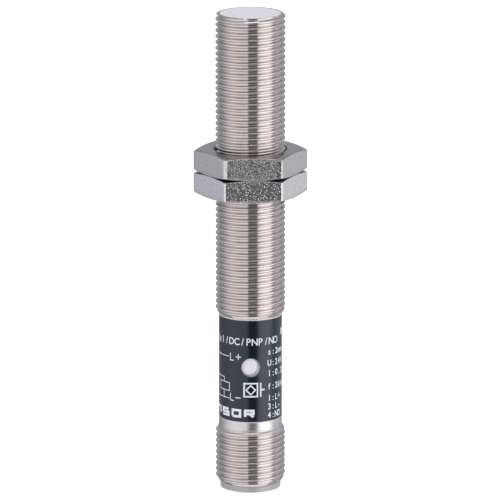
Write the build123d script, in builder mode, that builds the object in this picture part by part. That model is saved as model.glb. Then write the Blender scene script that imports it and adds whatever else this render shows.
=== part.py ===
from build123d import *
import os
from math import radians, tan

# M12 inductive proximity sensor with two lock nuts and an M12 connector end.
# Frame: millimetres, +Z along the tube towards the sensing face, origin on the axis
# at the connector end. The LED window and the label's front face -Y.

os.makedirs("parts", exist_ok=True)

# ---------------------------------------------------------------- driving dimensions
TOTAL_LENGTH = 82.65
THREAD_MAJOR_R = 5.94
TUBE_BORE_R = 4.8
NECK_R = 5.4
FACE_EDGE_R = 5.45
FACE_CHAMFER_T = 0.2

# heights of the tube's features above the connector end
TUBE_END_Z = 1.0
CONNECTOR_THREAD_Z = (2.0, 10.1)
NECK_START_Z = 11.0
LABEL_Z = (12.5, 30.37)
MAIN_THREAD_Z = 30.85
CONNECTOR_EDGE_R = 5.35
THREAD_RUNOUT = 0.5

# label band and LED window
LABEL_THICKNESS = 0.1
WINDOW_Z = 22.1
WINDOW_R = 1.69
WINDOW_STEM_R = 1.2
WINDOW_HEAD_DEPTH = 1.0

# sensing cap
CAP_FLANGE_R = 5.18
CAP_FLANGE_T = 1.1
CAP_WALL = 0.95
CAP_POCKET_R = 4.4
CAP_SKIRT_Z = 75.4

# ferrite pot core, bobbin, winding and shield band
CORE_R = 4.2
CORE_Z = (77.0, 81.6)
CORE_BASE_T = 1.2
CORE_RIM_R = 3.6
CORE_POST_R = 1.6
CORE_SLOT_W = 0.9
BOBBIN_SLEEVE_R = 1.95
BOBBIN_FLANGE_R = 3.5
BOBBIN_FLANGE_T = 0.25
WINDING_R = 3.35
SHIELD_Z = (76.2, 81.6)

# core retainer
RETAINER_Z = (71.5, CORE_Z[0])
RETAINER_GROOVE_Z = (72.4, 73.2)

# O-ring grooves
GROOVE_DEPTH = 0.5
RING_HEIGHT = 0.7
RING_CORNER_R = 0.18

# circuit board
BOARD_T = 0.8
BOARD_W = 8.6
BOARD_Z = (14.0, RETAINER_Z[0])
BOARD_TONGUE_W = 7.0
BOARD_TONGUE_L = 2.2
BOARD_GAP = 0.1
BOARD_FRONT = -BOARD_T / 2

# components on the board: width, length along the tube and height off the board
CHIP_SIZE = (4.0, 5.0, 1.5)
POWER_SIZE = (2.6, 3.0, 1.1)
DIODE_SIZE = (2.6, 4.3, 2.1)
BUFFER_SIZE = (2.8, 3.5, 1.9)
CERAMIC_SIZE = (1.25, 2.0, 0.9)
RESISTOR_SIZE = (0.8, 1.6, 0.45)
LED_SIZE = (1.6, 1.6, 0.8)
CHIP_Z = 58.0
TRANSISTOR_Z = 34.0
REGULATOR_Z = 40.0
DIODE_Z = 24.0
BUFFER_Z = 32.0
CERAMIC_Z = (40.0, 50.0)
CERAMIC_X = 2.8
RESISTOR_Z = (28.0, 44.0, 47.0, 66.0)
RESISTOR_X = 1.5
BODY_CORNER = 0.2
SMALL_CORNER = 0.1

# contact carrier and contacts
CARRIER_FLANGE_R = 5.15
CARRIER_TOP_Z = 11.6
CAVITY_R = 4.25
CAVITY_DEPTH = 8.6
CARRIER_GROOVE_Z = (9.6, 10.4)
CAVITY_CHAMFER = 0.25
KEY_W = 1.0
KEY_R = 3.45
KEY_START_Z = 0.6
PIN_R = 0.5
PIN_CIRCLE_R = 2.5
PIN_TIP_Z = 1.2
PIN_TIP_CHAMFER = 0.25
PIN_COLLAR_R = 0.75
PIN_COLLAR_Z = (CAVITY_DEPTH + 0.1, CAVITY_DEPTH + 2.1)
PIN_TAIL_Z = 13.2

# wires: radius, bend, and the straight run before the first bend
LEAD_R = 0.25
LEAD_BEND_R = 0.3
LEAD_START_L = 0.7
LEAD_PAD_Z = (BOARD_Z[0] + 1.4, BOARD_Z[0] + 2.8)
LEAD_PAD_APPROACH = 0.2
COIL_LEAD_R = 0.12
COIL_LEAD_BEND_R = 0.6
COIL_LEAD_START_L = 1.0
COIL_LEAD_APPROACH = 0.8
COIL_PAD_Z = (RETAINER_Z[0] - 2.0, RETAINER_Z[0] - 0.8)

# lock nuts
NUT_FLATS = 16.85
NUT_T = 3.86
NUT_BORE_R = 6.0
NUT_COUNTERSINK = 0.25
NUT_EDGE_R = 0.3
NUT_CHAMFER_R = 8.4
NUT_OUTER_R = 9.9
NUT_CHAMFER_DEG = 15
NUT_TURN_DEG = 2.3
NUT_GAP = 0.02
NUT_SPLIT_Z = 55.38


def save(block, name):
    """Labels a finished piece and writes it as its own STEP file."""
    block.part.label = name
    export_step(block.part, f"parts/{name}.step")


# ---------------------------------------------------------------- housing tube
with BuildPart() as housing_tube:
    with BuildSketch(Plane.XZ):
        with BuildLine():
            Polyline(
                (TUBE_BORE_R, TUBE_END_Z),
                (CONNECTOR_EDGE_R, TUBE_END_Z),
                (THREAD_MAJOR_R, CONNECTOR_THREAD_Z[0]),
                (THREAD_MAJOR_R, CONNECTOR_THREAD_Z[1]),
                (NECK_R, NECK_START_Z),
                (NECK_R, LABEL_Z[0]),
                (NECK_R - LABEL_THICKNESS, LABEL_Z[0]),
                (NECK_R - LABEL_THICKNESS, LABEL_Z[1]),
                (NECK_R, LABEL_Z[1]),
                (NECK_R, MAIN_THREAD_Z),
                (THREAD_MAJOR_R, MAIN_THREAD_Z + THREAD_RUNOUT),
                (THREAD_MAJOR_R, TOTAL_LENGTH - FACE_CHAMFER_T),
                (FACE_EDGE_R, TOTAL_LENGTH),
                (CAP_FLANGE_R, TOTAL_LENGTH),
                (CAP_FLANGE_R, TOTAL_LENGTH - CAP_FLANGE_T),
                (TUBE_BORE_R, TOTAL_LENGTH - CAP_FLANGE_T),
                close=True,
            )
        make_face()
    revolve(axis=Axis.Z)
    with BuildSketch(Plane.XZ):
        with Locations((0, WINDOW_Z)):
            Circle(WINDOW_R)
    extrude(amount=NECK_R + 1, mode=Mode.SUBTRACT)
save(housing_tube, "housing_tube")

# ---------------------------------------------------------------- sensing end
with BuildPart() as sensing_cap:
    with BuildSketch(Plane.XY.offset(TOTAL_LENGTH - CAP_FLANGE_T)):
        Circle(CAP_FLANGE_R)
    extrude(amount=CAP_FLANGE_T)
    with BuildSketch(Plane.XY.offset(CAP_SKIRT_Z)):
        Circle(TUBE_BORE_R)
    extrude(amount=TOTAL_LENGTH - CAP_FLANGE_T - CAP_SKIRT_Z)
    with BuildSketch(Plane.XY.offset(CAP_SKIRT_Z)):
        Circle(CAP_POCKET_R)
    extrude(amount=TOTAL_LENGTH - CAP_WALL - CAP_SKIRT_Z, mode=Mode.SUBTRACT)
save(sensing_cap, "sensing_cap")

with BuildPart() as shield_band:
    with BuildSketch(Plane.XY.offset(SHIELD_Z[0])):
        Circle(CAP_POCKET_R)
        Circle(CORE_R, mode=Mode.SUBTRACT)
    extrude(amount=SHIELD_Z[1] - SHIELD_Z[0])
save(shield_band, "shield_band")

with BuildPart() as ferrite_core:
    with BuildSketch(Plane.XY.offset(CORE_Z[0])):
        Circle(CORE_R)
    extrude(amount=CORE_Z[1] - CORE_Z[0])
    with BuildSketch(Plane.XY.offset(CORE_Z[0] + CORE_BASE_T)):
        Circle(CORE_RIM_R)
        Circle(CORE_POST_R, mode=Mode.SUBTRACT)
    extrude(amount=CORE_Z[1] - CORE_Z[0], mode=Mode.SUBTRACT)
    # two slots through the base let the coil leads out
    with BuildSketch(Plane.XY.offset(CORE_Z[0])):
        with Locations((-CORE_RIM_R, 0), (CORE_RIM_R, 0)):
            Rectangle(2 * (CORE_RIM_R - BOBBIN_SLEEVE_R), CORE_SLOT_W)
    extrude(amount=CORE_BASE_T, mode=Mode.SUBTRACT)
save(ferrite_core, "ferrite_core")

BOBBIN_Z = (CORE_Z[0] + CORE_BASE_T, CORE_Z[1])
with BuildPart() as coil_bobbin:
    with BuildSketch(Plane.XY.offset(BOBBIN_Z[0])):
        Circle(BOBBIN_SLEEVE_R)
    extrude(amount=BOBBIN_Z[1] - BOBBIN_Z[0])
    for flange_z in (BOBBIN_Z[0], BOBBIN_Z[1] - BOBBIN_FLANGE_T):
        with BuildSketch(Plane.XY.offset(flange_z)):
            Circle(BOBBIN_FLANGE_R)
        extrude(amount=BOBBIN_FLANGE_T)
    with BuildSketch(Plane.XY.offset(BOBBIN_Z[0])):
        Circle(CORE_POST_R)
    extrude(amount=BOBBIN_Z[1] - BOBBIN_Z[0], mode=Mode.SUBTRACT)
    # notches in the rear flange pass the coil leads
    with BuildSketch(Plane.XY.offset(BOBBIN_Z[0])):
        with Locations((-BOBBIN_FLANGE_R, 0), (BOBBIN_FLANGE_R, 0)):
            Rectangle(2 * (BOBBIN_FLANGE_R - WINDING_R) + CORE_SLOT_W, CORE_SLOT_W)
    extrude(amount=BOBBIN_FLANGE_T, mode=Mode.SUBTRACT)
save(coil_bobbin, "coil_bobbin")

with BuildPart() as coil_winding:
    with BuildSketch(Plane.XY.offset(BOBBIN_Z[0] + BOBBIN_FLANGE_T)):
        Circle(WINDING_R)
        Circle(BOBBIN_SLEEVE_R, mode=Mode.SUBTRACT)
    extrude(amount=BOBBIN_Z[1] - BOBBIN_Z[0] - 2 * BOBBIN_FLANGE_T)
save(coil_winding, "coil_winding")


def soldered_wire(route, radius, bend, pad_z):
    """Round wire along a route whose last point lies in a block of solder on the board."""
    last = route[-1]
    side = 1 if last[1] > 0 else -1
    with BuildPart() as wire:
        with BuildLine():
            FilletPolyline(*route, radius=bend)
        with BuildSketch(Plane(route[0])):
            Circle(radius)
        sweep()
        with BuildSketch(Plane((last[0], 0, pad_z[0]))):
            with Locations((0, side * (BOARD_T / 2 + radius + BOARD_GAP))):
                Rectangle(4 * radius, 2 * (radius + BOARD_GAP))
        extrude(amount=pad_z[1] - pad_z[0])
    return wire


COIL_LEAD_X = WINDING_R - 2 * COIL_LEAD_R
COIL_LEAD_Y = -(BOARD_T / 2 + BOARD_GAP + COIL_LEAD_R)
coil_leads = []
for lead_name, lead_x in (("coil_lead_start", -COIL_LEAD_X), ("coil_lead_end", COIL_LEAD_X)):
    lead_route = [
        (lead_x, 0, BOBBIN_Z[0] + BOBBIN_FLANGE_T),
        (lead_x, 0, CORE_Z[0] - COIL_LEAD_START_L),
        (lead_x, COIL_LEAD_Y, RETAINER_Z[0] + BOARD_TONGUE_L + COIL_LEAD_APPROACH),
        (lead_x, COIL_LEAD_Y, sum(COIL_PAD_Z) / 2),
    ]
    coil_lead = soldered_wire(lead_route, COIL_LEAD_R, COIL_LEAD_BEND_R, COIL_PAD_Z)
    save(coil_lead, lead_name)
    coil_leads.append(coil_lead)


def o_ring(groove_z):
    """Seal ring as it sits squeezed between its groove's floor and the tube's bore."""
    with BuildPart() as ring:
        with BuildSketch(Plane.XZ):
            with Locations((TUBE_BORE_R - GROOVE_DEPTH / 2, sum(groove_z) / 2)):
                RectangleRounded(GROOVE_DEPTH, RING_HEIGHT, RING_CORNER_R)
        revolve(axis=Axis.Z)
    return ring


def groove(groove_z):
    """The ring of material that an O-ring groove takes out of a plug in the bore."""
    with BuildPart() as ring:
        with BuildSketch(Plane.XY.offset(groove_z[0])):
            Circle(TUBE_BORE_R)
            Circle(TUBE_BORE_R - GROOVE_DEPTH, mode=Mode.SUBTRACT)
        extrude(amount=groove_z[1] - groove_z[0])
    return ring.part


# ---------------------------------------------------------------- core retainer and its seal
RETAINER_NOSE_Z = CAP_SKIRT_Z
LEAD_CHANNEL_W = 0.6
LEAD_CHANNEL_Y = (-0.9, 0.3)
retainer_groove = groove(RETAINER_GROOVE_Z)
with BuildPart() as core_retainer:
    with BuildSketch(Plane.XY.offset(RETAINER_Z[0])):
        Circle(TUBE_BORE_R)
    extrude(amount=RETAINER_NOSE_Z - RETAINER_Z[0])
    with BuildSketch(Plane.XY.offset(RETAINER_NOSE_Z)):
        Circle(CORE_R)
    extrude(amount=RETAINER_Z[1] - RETAINER_NOSE_Z)
    add(retainer_groove, mode=Mode.SUBTRACT)
    # slot for the circuit board's tongue
    with BuildSketch(Plane.XY.offset(RETAINER_Z[0])):
        Rectangle(BOARD_TONGUE_W, BOARD_T)
    extrude(amount=BOARD_TONGUE_L, mode=Mode.SUBTRACT)
    # channels for the two coil leads
    with BuildSketch(Plane.XY.offset(RETAINER_Z[0])):
        with Locations(
            (-COIL_LEAD_X, sum(LEAD_CHANNEL_Y) / 2),
            (COIL_LEAD_X, sum(LEAD_CHANNEL_Y) / 2),
        ):
            Rectangle(LEAD_CHANNEL_W, LEAD_CHANNEL_Y[1] - LEAD_CHANNEL_Y[0])
    extrude(amount=RETAINER_Z[1] - RETAINER_Z[0], mode=Mode.SUBTRACT)
save(core_retainer, "core_retainer")

retainer_o_ring = o_ring(RETAINER_GROOVE_Z)
save(retainer_o_ring, "retainer_o_ring")

# ---------------------------------------------------------------- circuit board and components
with BuildPart() as circuit_board:
    with BuildSketch(Plane.XY.offset(BOARD_Z[0])):
        Rectangle(BOARD_W, BOARD_T)
    extrude(amount=BOARD_Z[1] - BOARD_Z[0])
    with BuildSketch(Plane.XY.offset(BOARD_Z[1])):
        Rectangle(BOARD_TONGUE_W, BOARD_T)
    extrude(amount=BOARD_TONGUE_L)
save(circuit_board, "circuit_board")

FRONT = Plane((0, BOARD_FRONT, 0), x_dir=(1, 0, 0), z_dir=(0, -1, 0))
BACK = Plane((0, -BOARD_FRONT, 0), x_dir=(-1, 0, 0), z_dir=(0, 1, 0))


def surface_parts(face, centres, size, corner=0.0):
    """Identical components soldered on one face of the board at (x, z) centres."""
    width, length, height = size
    with BuildPart() as group:
        with BuildSketch(face):
            with Locations(*centres):
                Rectangle(width, length)
        extrude(amount=height)
        if corner:
            chamfer(group.edges().filter_by(Axis.Z), corner)
    return group


sensor_chip = surface_parts(FRONT, [(0, CHIP_Z)], CHIP_SIZE, BODY_CORNER)
output_transistor = surface_parts(FRONT, [(0, TRANSISTOR_Z)], POWER_SIZE, SMALL_CORNER)
voltage_regulator = surface_parts(BACK, [(0, REGULATOR_Z)], POWER_SIZE, SMALL_CORNER)
suppressor_diode = surface_parts(BACK, [(0, DIODE_Z)], DIODE_SIZE, BODY_CORNER)
buffer_capacitor = surface_parts(BACK, [(0, BUFFER_Z)], BUFFER_SIZE, SMALL_CORNER)
ceramic_centres = [(x, z) for z in CERAMIC_Z for x in (-CERAMIC_X, CERAMIC_X)]
ceramic_capacitors = surface_parts(FRONT, ceramic_centres, CERAMIC_SIZE)
resistor_centres = [(x, z) for z in RESISTOR_Z for x in (-RESISTOR_X, RESISTOR_X)]
chip_resistors = surface_parts(FRONT, resistor_centres, RESISTOR_SIZE)
status_led = surface_parts(FRONT, [(0, WINDOW_Z)], LED_SIZE, SMALL_CORNER)
LED_HEIGHT = LED_SIZE[2]

board_parts = {
    "sensor_chip": sensor_chip,
    "output_transistor": output_transistor,
    "voltage_regulator": voltage_regulator,
    "suppressor_diode": suppressor_diode,
    "buffer_capacitor": buffer_capacitor,
    "ceramic_capacitors": ceramic_capacitors,
    "chip_resistors": chip_resistors,
    "status_led": status_led,
}
for part_name, board_part in board_parts.items():
    save(board_part, part_name)

# light guide from the LED out through the tube and the label
with BuildPart() as led_window:
    with BuildSketch(Plane.XZ):
        with Locations((0, WINDOW_Z)):
            Circle(WINDOW_R)
    extrude(amount=NECK_R + 1)
    with BuildSketch(Plane.XZ):
        Rectangle(TUBE_BORE_R, 4 * WINDOW_Z)
    extrude(amount=NECK_R - WINDOW_HEAD_DEPTH, mode=Mode.SUBTRACT)
    with BuildSketch(Plane.XZ.offset(-BOARD_FRONT + LED_HEIGHT)):
        with Locations((0, WINDOW_Z)):
            Circle(WINDOW_STEM_R)
    extrude(amount=NECK_R - WINDOW_HEAD_DEPTH + BOARD_FRONT - LED_HEIGHT)
    with BuildSketch(Plane.XY.offset(WINDOW_Z - 2 * WINDOW_R)):
        Circle(NECK_R)
    extrude(amount=4 * WINDOW_R, mode=Mode.INTERSECT)
save(led_window, "led_window")

# ---------------------------------------------------------------- connector end
carrier_groove = groove(CARRIER_GROOVE_Z)
with BuildPart() as contact_carrier:
    with BuildSketch(Plane.XY):
        Circle(CARRIER_FLANGE_R)
    extrude(amount=TUBE_END_Z)
    with BuildSketch(Plane.XY.offset(TUBE_END_Z)):
        Circle(TUBE_BORE_R)
    extrude(amount=CARRIER_TOP_Z - TUBE_END_Z)
    with BuildSketch(Plane.XY):
        Circle(CAVITY_R)
    extrude(amount=CAVITY_DEPTH, mode=Mode.SUBTRACT)
    chamfer(contact_carrier.faces().sort_by(Axis.Z)[0].inner_wires()[0].edges(), CAVITY_CHAMFER)
    # coding key on the cavity's wall, rooted in the wall behind it
    with BuildSketch(Plane.XY.offset(KEY_START_Z)):
        with Locations((0, (TUBE_BORE_R + KEY_R) / 2)):
            Rectangle(KEY_W, TUBE_BORE_R - KEY_R)
        Circle(TUBE_BORE_R, mode=Mode.INTERSECT)
    extrude(amount=CAVITY_DEPTH - KEY_START_Z)
    add(carrier_groove, mode=Mode.SUBTRACT)
    # seats of the contact pins
    with BuildSketch(Plane.XY.offset(CAVITY_DEPTH)):
        with PolarLocations(PIN_CIRCLE_R, 4, start_angle=45):
            Circle(PIN_R)
    extrude(amount=CARRIER_TOP_Z - CAVITY_DEPTH, mode=Mode.SUBTRACT)
    with BuildSketch(Plane.XY.offset(PIN_COLLAR_Z[0])):
        with PolarLocations(PIN_CIRCLE_R, 4, start_angle=45):
            Circle(PIN_COLLAR_R)
    extrude(amount=PIN_COLLAR_Z[1] - PIN_COLLAR_Z[0], mode=Mode.SUBTRACT)
save(contact_carrier, "contact_carrier")

carrier_o_ring = o_ring(CARRIER_GROOVE_Z)
save(carrier_o_ring, "carrier_o_ring")

# pins 1 to 4 run anticlockwise seen from the mating side, starting right of the key
pin_centres = [Vector(PIN_CIRCLE_R, 0, 0).rotate(Axis.Z, 45 + 90 * k) for k in range(4)]
pins = []
for number, centre in enumerate(pin_centres, start=1):
    with BuildPart() as contact_pin:
        with BuildSketch(Plane((centre.X, centre.Y, PIN_TIP_Z))):
            Circle(PIN_R)
        extrude(amount=PIN_TAIL_Z - PIN_TIP_Z)
        chamfer(contact_pin.edges().group_by(Axis.Z)[0], PIN_TIP_CHAMFER)
        with BuildSketch(Plane((centre.X, centre.Y, PIN_COLLAR_Z[0]))):
            Circle(PIN_COLLAR_R)
        extrude(amount=PIN_COLLAR_Z[1] - PIN_COLLAR_Z[0])
    save(contact_pin, f"contact_pin_{number}")
    pins.append(contact_pin)

# each lead wire runs from its pin's tail to a solder pad on the near face of the board
LEAD_Y = BOARD_T / 2 + BOARD_GAP + LEAD_R
lead_wires = []
for number, centre in enumerate(pin_centres, start=1):
    pad_y = LEAD_Y if centre.Y > 0 else -LEAD_Y
    lead_route = [
        (centre.X, centre.Y, PIN_TAIL_Z),
        (centre.X, centre.Y, PIN_TAIL_Z + LEAD_START_L),
        (centre.X, pad_y, LEAD_PAD_Z[0] - LEAD_PAD_APPROACH),
        (centre.X, pad_y, sum(LEAD_PAD_Z) / 2),
    ]
    lead_wire = soldered_wire(lead_route, LEAD_R, LEAD_BEND_R, LEAD_PAD_Z)
    save(lead_wire, f"lead_wire_{number}")
    lead_wires.append(lead_wire)

# ---------------------------------------------------------------- label film
with BuildPart() as label_film:
    with BuildSketch(Plane.XY.offset(LABEL_Z[0])):
        Circle(NECK_R)
        Circle(NECK_R - LABEL_THICKNESS, mode=Mode.SUBTRACT)
    extrude(amount=LABEL_Z[1] - LABEL_Z[0])
    with BuildSketch(Plane.XZ):
        with Locations((0, WINDOW_Z)):
            Circle(WINDOW_R)
    extrude(amount=NECK_R + 1, mode=Mode.SUBTRACT)
save(label_film, "label_film")

# ---------------------------------------------------------------- potting resin
potted = [circuit_board, led_window, *board_parts.values(), *pins, *lead_wires, *coil_leads]
with BuildPart() as potting_resin:
    with BuildSketch(Plane.XY.offset(CARRIER_TOP_Z)):
        Circle(TUBE_BORE_R)
    extrude(amount=RETAINER_Z[0] - CARRIER_TOP_Z)
    for piece in potted:
        add(piece.part, mode=Mode.SUBTRACT)
save(potting_resin, "potting_resin")

# ---------------------------------------------------------------- lock nuts

def lock_nut(bottom_z, name):
    """Thin hexagon nut with both faces chamfered and both ends of its bore countersunk."""
    top_z = bottom_z + NUT_T
    drop = (NUT_OUTER_R - NUT_CHAMFER_R) * tan(radians(NUT_CHAMFER_DEG))
    with BuildPart() as nut:
        with BuildSketch(Plane.XY.offset(bottom_z)):
            RegularPolygon(NUT_FLATS / 2, 6, major_radius=False, rotation=NUT_TURN_DEG)
        extrude(amount=NUT_T)
        fillet(nut.edges().filter_by(Axis.Z), NUT_EDGE_R)
        with BuildSketch(Plane.XZ):
            with BuildLine():
                Polyline(
                    (0, bottom_z),
                    (NUT_CHAMFER_R, bottom_z),
                    (NUT_OUTER_R, bottom_z + drop),
                    (NUT_OUTER_R, top_z - drop),
                    (NUT_CHAMFER_R, top_z),
                    (0, top_z),
                    close=True,
                )
            make_face()
        revolve(axis=Axis.Z, mode=Mode.INTERSECT)
        with BuildSketch(Plane.XY.offset(bottom_z)):
            Circle(NUT_BORE_R)
        extrude(amount=NUT_T, mode=Mode.SUBTRACT)
        bore_rims = nut.edges().filter_by(GeomType.CIRCLE).group_by(SortBy.RADIUS)[0]
        chamfer(bore_rims, NUT_COUNTERSINK)
    save(nut, name)


lock_nut(NUT_SPLIT_Z + NUT_GAP / 2, "lock_nut_upper")
lock_nut(NUT_SPLIT_Z - NUT_GAP / 2 - NUT_T, "lock_nut_lower")
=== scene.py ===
import math

import bmesh
import bpy
import numpy as np
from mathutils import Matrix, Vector


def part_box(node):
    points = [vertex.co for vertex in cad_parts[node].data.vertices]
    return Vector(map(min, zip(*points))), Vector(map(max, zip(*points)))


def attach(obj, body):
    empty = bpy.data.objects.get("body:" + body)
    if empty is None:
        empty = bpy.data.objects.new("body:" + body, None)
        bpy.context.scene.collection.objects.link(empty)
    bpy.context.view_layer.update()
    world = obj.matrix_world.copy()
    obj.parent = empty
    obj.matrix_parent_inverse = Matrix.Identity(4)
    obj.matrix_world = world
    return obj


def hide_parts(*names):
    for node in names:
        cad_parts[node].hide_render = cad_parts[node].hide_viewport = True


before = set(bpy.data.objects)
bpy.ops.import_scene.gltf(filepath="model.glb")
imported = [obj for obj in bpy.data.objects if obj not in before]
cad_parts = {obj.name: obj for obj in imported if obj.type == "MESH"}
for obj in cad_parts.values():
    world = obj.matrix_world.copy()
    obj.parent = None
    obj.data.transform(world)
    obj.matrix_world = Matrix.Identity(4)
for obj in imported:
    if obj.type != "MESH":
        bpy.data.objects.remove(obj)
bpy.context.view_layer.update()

# ------------------------------------------------------------------ sizes, in mm
MM = 0.001


def box_mm(node):
    low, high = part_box(node)
    return low / MM, high / MM


TUBE_LOW, TUBE_HIGH = box_mm("housing_tube")
LABEL_LOW, LABEL_HIGH = box_mm("label_film")
WINDOW_LOW, WINDOW_HIGH = box_mm("led_window")
CAP_LOW, CAP_HIGH = box_mm("sensing_cap")

# tube, from its connector end up to its sensing face
TUBE_END_Z = TUBE_LOW.z
TUBE_END_CHAMFER = 0.1
CONNECTOR_EDGE_R = 5.35
CONNECTOR_THREAD_Z = (2.0, 10.1)
NECK_START_Z = 11.0
NECK_R = LABEL_HIGH.x
LABEL_Z = (LABEL_LOW.z, LABEL_HIGH.z)
FILM_T = 0.1
RECESS_BEVEL = 0.17
EDGE_HOLD = 0.03  # the extra rows this far from a bevel keep the plain necks' shading straight
MAIN_THREAD_Z = 30.62
RUNOUT = 0.75
NECK_FINISH_Z = (CONNECTOR_THREAD_Z[1] + 0.3, MAIN_THREAD_Z + 0.1)
THREAD_R = TUBE_HIGH.x
FACE_Z = TUBE_HIGH.z
FACE_EDGE_R = 5.45
FACE_CHAMFER_T = 0.2
SEAT_EDGE = 0.04
BORE_R = 4.8
CAP_R = CAP_HIGH.x
CAP_T = 1.1

# the window's hole, in the middle of the front
FRONT_DEG = 270.0
WINDOW_R = (WINDOW_HIGH.x - WINDOW_LOW.x) / 2
WINDOW_Z = (WINDOW_HIGH.z + WINDOW_LOW.z) / 2
HOLE_RINGS = 3
TUBE_BAND = {"half_height": 2.5, "rows": 11, "reach": 6}
FILM_BAND = {"half_height": 2.6, "rows": 17, "reach": 10}

# thread profile: the phases are shares of one pitch
PITCH = 1.0
THREAD_DEPTH = 0.5
CREST_HALF = 0.1
FLANK_SLOPE = 1.732
PROFILE_ROUNDING = 0.05
ROUNDING_SAMPLES = 9
HALF_PHASES = (0.055, 0.09, 0.13, 0.17, 0.245, 0.32, 0.36, 0.415)
MAIN_CREST_Z = 0.915
CONNECTOR_CREST_Z = 1.005
CONNECTOR_START_DEG = 180.0
FADE_DELAY = 0.1
CONNECTOR_FADE = 0.35
MAIN_FADE = 0.45
SPARE_TURNS = 2  # turns made past each end, where they are clamped
TUBE_COLUMNS = 80


# ------------------------------------------------------------------ mesh helpers
WELD = 0.0005


def add_piece(name, mesh, body, materials, nodes=(), sharp_deg=40.0):
    """Makes a finished object from a mesh in metres, parents it to its body and hides the CAD nodes it
    replaces.
    """
    mesh.name = name
    mesh.shade_smooth()
    mesh.set_sharp_from_angle(angle=math.radians(sharp_deg))
    piece = bpy.data.objects.new(name, mesh)
    bpy.context.scene.collection.objects.link(piece)
    for shader in materials:
        mesh.materials.append(shader.material)
    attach(piece, body)
    if nodes:
        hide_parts(*nodes)
    return piece


def welded_mesh(points_mm, faces, material_of=None):
    """Mesh in metres with doubled points welded and collapsed faces gone."""
    mesh = bpy.data.meshes.new("mesh")
    points = [tuple(p) for p in np.asarray(points_mm, float) * MM]
    mesh.from_pydata(points, [], [tuple(f) for f in faces])
    if material_of is not None:
        mesh.polygons.foreach_set("material_index", np.asarray(material_of, np.int32))
    made = bmesh.new()
    made.from_mesh(mesh)
    bmesh.ops.remove_doubles(made, verts=made.verts, dist=WELD * MM)
    bmesh.ops.dissolve_degenerate(made, edges=made.edges, dist=WELD * MM * 0.5)
    loose = [v for v in made.verts if not v.link_faces]
    bmesh.ops.delete(made, geom=loose, context="VERTS")
    bmesh.ops.recalc_face_normals(made, faces=made.faces)
    made.to_mesh(mesh)
    made.free()
    return mesh


def grid_faces(rows, columns, keep=None, close_rows=False):
    """Quads over a grid of points, rows by columns+1."""
    faces = []
    span = columns + 1
    for i in range(rows if close_rows else rows - 1):
        for j in range(columns):
            if keep is None or keep(i, j):
                a = i * span + j
                b = ((i + 1) % rows) * span + j
                faces.append((a, a + 1, b + 1, b))
    return faces


def level_row(r, z, columns=TUBE_COLUMNS):
    """One row of a grid round the axis, at one radius and height."""
    return np.full(columns + 1, r), np.full(columns + 1, z)


def around(rows, columns):
    """Points of a grid whose rows give the radius and the height at each column."""
    angle = np.radians(np.linspace(0.0, 360.0, columns + 1))
    r, z = (np.asarray(values, float) for values in zip(*rows))
    return np.stack([r * np.cos(angle), r * np.sin(angle), z], axis=-1).reshape(-1, 3)


def rounded(profile, corners, steps=4):
    """Closed profile of (r, z) with the corners of the given numbers rounded: {index: radius}."""
    done = []
    for i, p in enumerate(profile):
        if i not in corners:
            done.append(p)
            continue
        here = Vector(p)
        back = Vector(profile[i - 1]) - here
        ahead = Vector(profile[(i + 1) % len(profile)]) - here
        half = back.angle(ahead) / 2
        reach = corners[i] / math.tan(half)
        middle = (back.normalized() + ahead.normalized()).normalized()
        centre = here + middle * corners[i] / math.sin(half)
        start = here + back.normalized() * reach - centre
        stop = here + ahead.normalized() * reach - centre
        turn = start.angle_signed(stop)
        for k in range(steps + 1):
            angle = -turn * k / steps
            c, s = math.cos(angle), math.sin(angle)
            x, y = start
            done.append((centre.x + x * c - y * s, centre.y + x * s + y * c))
    return done


def second_finish(mesh, chosen):
    """Gives the mesh's second material to the faces whose height in mm is chosen."""
    centres = np.empty(len(mesh.polygons) * 3)
    mesh.polygons.foreach_get("center", centres)
    level = centres.reshape(-1, 3)[:, 2] / MM
    mesh.polygons.foreach_set("material_index", chosen(level).astype(np.int32))


# ------------------------------------------------------------------ material helpers
WOBBLE_PER_MM = 0.08


class NodeTree:
    """Short ways to add and link the nodes of one tree."""

    def __init__(self, tree):
        self.nodes, self.links = tree.nodes, tree.links

    def add(self, kind, **settings):
        node = self.nodes.new(kind)
        for key, value in settings.items():
            setattr(node, key, value)
        return node

    def link(self, a, b):
        self.links.new(a, b)

    def feed(self, x, socket):
        """Links an output to the socket, or sets the socket to a number or a colour."""
        if isinstance(x, bpy.types.NodeSocket):
            self.link(x, socket)
        else:
            socket.default_value = (*x, 1.0) if isinstance(x, tuple) else x

    def value(self, operation, *inputs):
        node = self.add("ShaderNodeMath", operation=operation)
        for x, socket in zip(inputs, node.inputs):
            self.feed(x, socket)
        return node.outputs[0]

    def split(self, vector):
        node = self.add("ShaderNodeSeparateXYZ")
        self.link(vector, node.inputs[0])
        return node.outputs

    def remap(self, factor, kind="LINEAR", **ends):
        """Map Range node with the given ends, such as To_Max."""
        node = self.add("ShaderNodeMapRange", interpolation_type=kind)
        for key, value in ends.items():
            node.inputs[key.replace("_", " ")].default_value = value
        self.link(factor, node.inputs["Value"])
        return node.outputs["Result"]

    def ramp(self, factor, *stops):
        """Colour ramp over (position, colour) stops; a number stands for a grey."""
        node = self.add("ShaderNodeValToRGB")
        elements = node.color_ramp.elements
        elements.remove(elements[0])
        for i, (position, colour) in enumerate(stops):
            element = elements[0] if i == 0 else elements.new(position)
            element.position = position
            rgb = colour if isinstance(colour, tuple) else (colour,) * 3
            element.color = (*rgb, 1.0)
        self.link(factor, node.inputs["Fac"])
        return node.outputs["Color"]


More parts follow.
